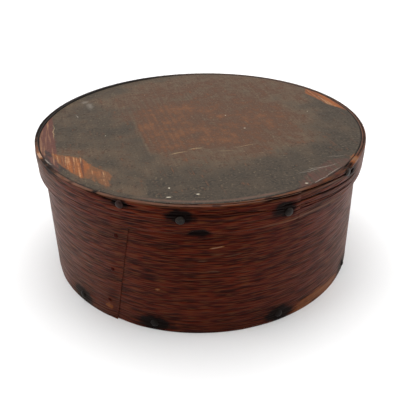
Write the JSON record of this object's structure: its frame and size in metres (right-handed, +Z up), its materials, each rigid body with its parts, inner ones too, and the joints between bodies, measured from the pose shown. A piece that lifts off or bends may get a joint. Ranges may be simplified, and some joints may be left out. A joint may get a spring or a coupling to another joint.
{
  "type": "round bentwood box",
  "caption": "Round box of lapped bent-wood strips nailed to pine discs, with a lift-off lid whose band drops over the body.",
  "frame": {"origin": "middle of the underside, on the surface that the box stands on", "axes": "+Z up, the way the lid lifts; -Y is the front, with the two nails of the lid's lap; +X is to the right seen from the front"},
  "size_m": [0.2487, 0.2495, 0.102],
  "materials": {
    "strip_wood": "old dark red-brown stain over bent wood, dull, worn thin at the edges",
    "disc_pine": "old grey-brown finish over sawn pine, dull, rubbed to bare orange wood near the rim",
    "nail_iron": "blackened forged iron, rusted matt"
  },
  "bodies": {
    "box": {"body_band": "strip_wood", "bottom_disc": "disc_pine", "bottom_nail_1": "nail_iron", "bottom_nail_2": "nail_iron", "bottom_nail_3": "nail_iron", "bottom_nail_4": "nail_iron", "bottom_nail_5": "nail_iron", "bottom_nail_6": "nail_iron", "bottom_nail_7": "nail_iron", "bottom_nail_8": "nail_iron", "bottom_nail_9": "nail_iron", "bottom_nail_10": "nail_iron", "body_lap_tack_1": "nail_iron", "body_lap_tack_2": "nail_iron", "body_lap_tack_3": "nail_iron"},
    "lid": {"lid_disc": "disc_pine", "lid_band": "strip_wood", "lid_disc_nail_1": "nail_iron", "lid_disc_nail_2": "nail_iron", "lid_disc_nail_3": "nail_iron", "lid_disc_nail_4": "nail_iron", "lid_disc_nail_5": "nail_iron", "lid_lap_nail_1": "nail_iron", "lid_lap_nail_2": "nail_iron"}
  },
  "joints": [
    {"name": "lid_lift", "type": "slide", "parent": "box", "child": "lid", "axis": [0, 0, 1], "range_m": [0, 0.06]}
  ]
}
